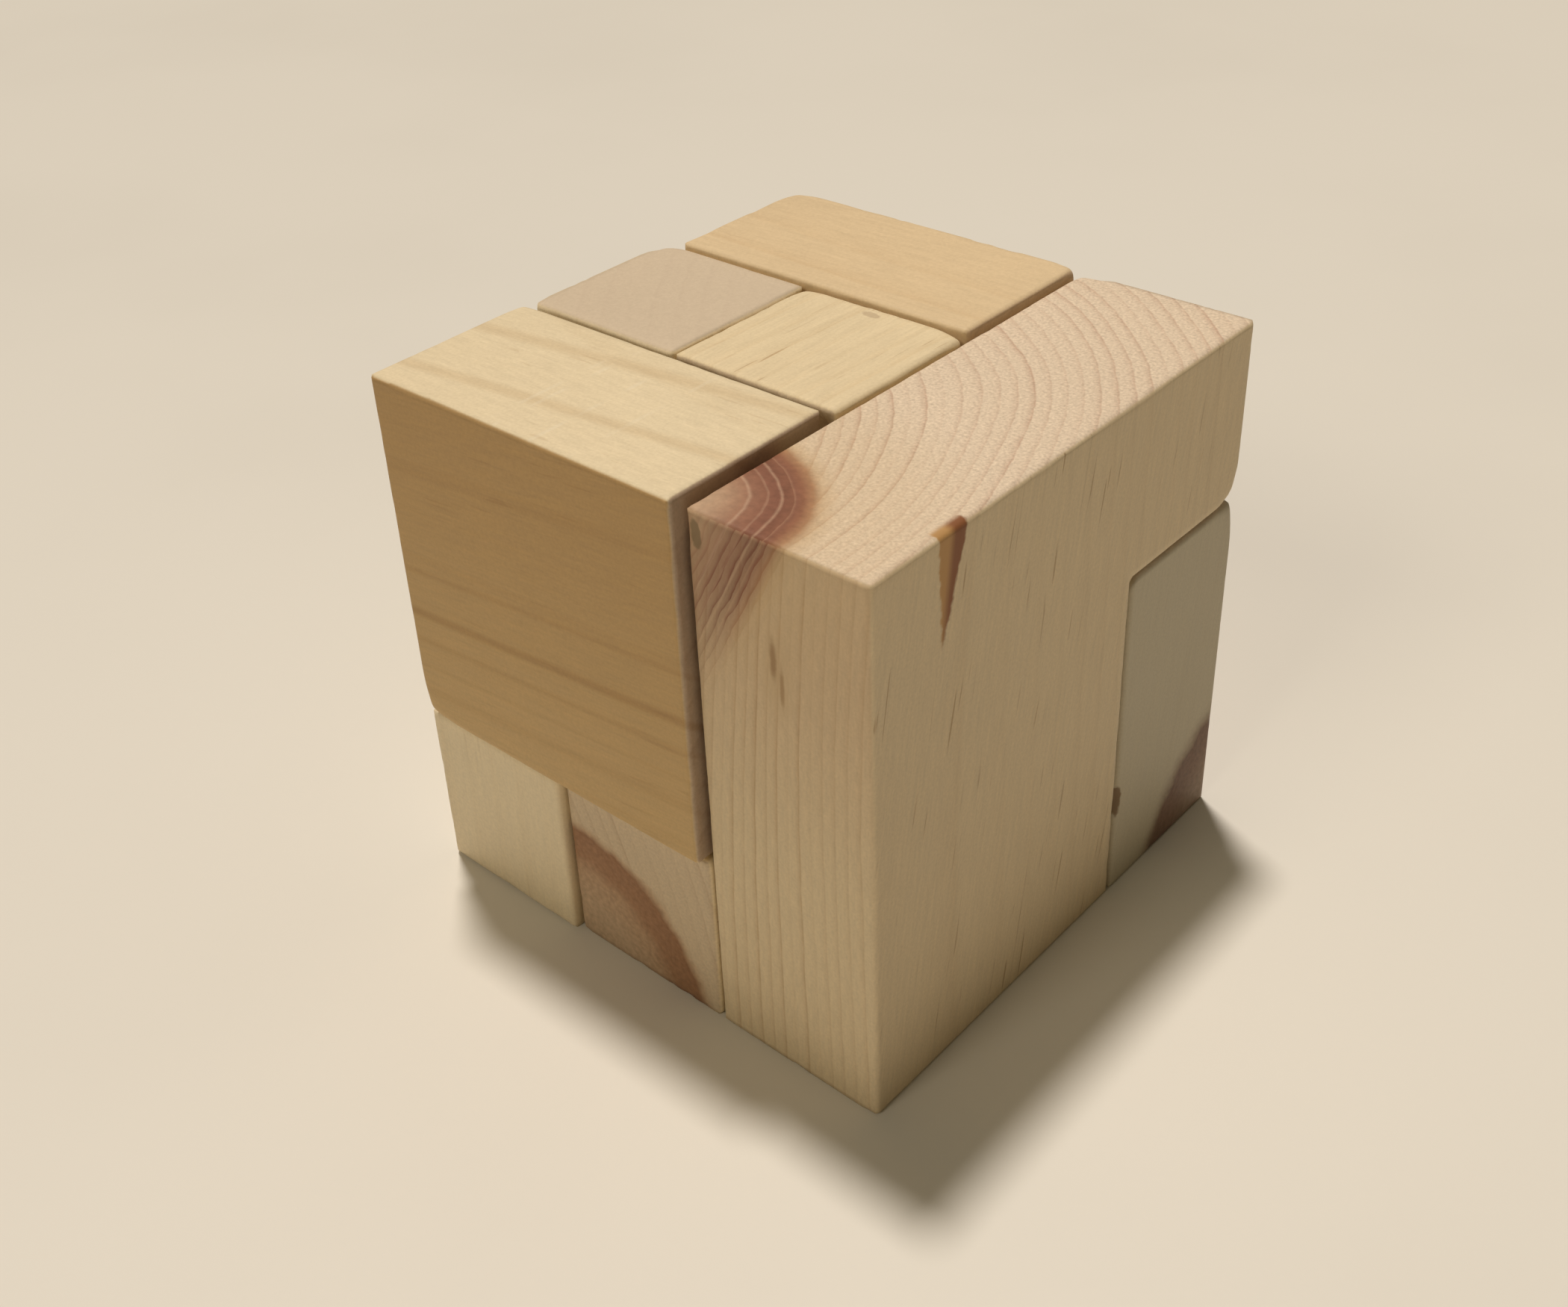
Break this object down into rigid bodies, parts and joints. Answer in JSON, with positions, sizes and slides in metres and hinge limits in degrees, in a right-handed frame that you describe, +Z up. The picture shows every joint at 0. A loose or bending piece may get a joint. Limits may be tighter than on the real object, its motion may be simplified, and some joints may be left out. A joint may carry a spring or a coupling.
{
  "type": "wooden dissection cube puzzle",
  "caption": "Cube-shaped wooden assembly puzzle made of flat block pieces that slide apart: a notched plate, a square, a tee, a stepped piece, an L-shaped key and a domino.",
  "frame": {"origin": "centre of the underside of the cube, on the surface it rests on", "axes": "+Z up, -Y out of the face with the square piece, +X out of the face of the notched plate"},
  "size_m": [0.0606, 0.0616, 0.061],
  "materials": {
    "tee_wood": "sanded, unfinished",
    "stepped_wood": "sanded, unfinished",
    "plate_wood": "sanded, unfinished",
    "square_wood": "sanded, unfinished",
    "key_wood": "sanded, unfinished",
    "domino_wood": "sanded, unfinished"
  },
  "bodies": {
    "tee": {"tee_piece": "tee_wood"},
    "stepped": {"stepped_piece": "stepped_wood"},
    "plate": {"notched_plate": "plate_wood"},
    "square": {"square_piece": "square_wood"},
    "key": {"key_piece": "key_wood"},
    "domino": {"domino_piece": "domino_wood"}
  },
  "joints": [
    {"name": "key_lift", "type": "slide", "parent": "tee", "child": "key", "axis": [0, 0, 1], "range_m": [0, 0.05]},
    {"name": "square_pull", "type": "slide", "parent": "tee", "child": "square", "axis": [0, -1, 0], "range_m": [0, 0.035]},
    {"name": "plate_pull", "type": "slide", "parent": "tee", "child": "plate", "axis": [1, 0, 0], "range_m": [0, 0.035]},
    {"name": "stepped_pull", "type": "slide", "parent": "tee", "child": "stepped", "axis": [-1, 0, 0], "range_m": [0, 0.035]},
    {"name": "domino_pull", "type": "slide", "parent": "tee", "child": "domino", "axis": [0, 1, 0], "range_m": [0, 0.035]}
  ]
}
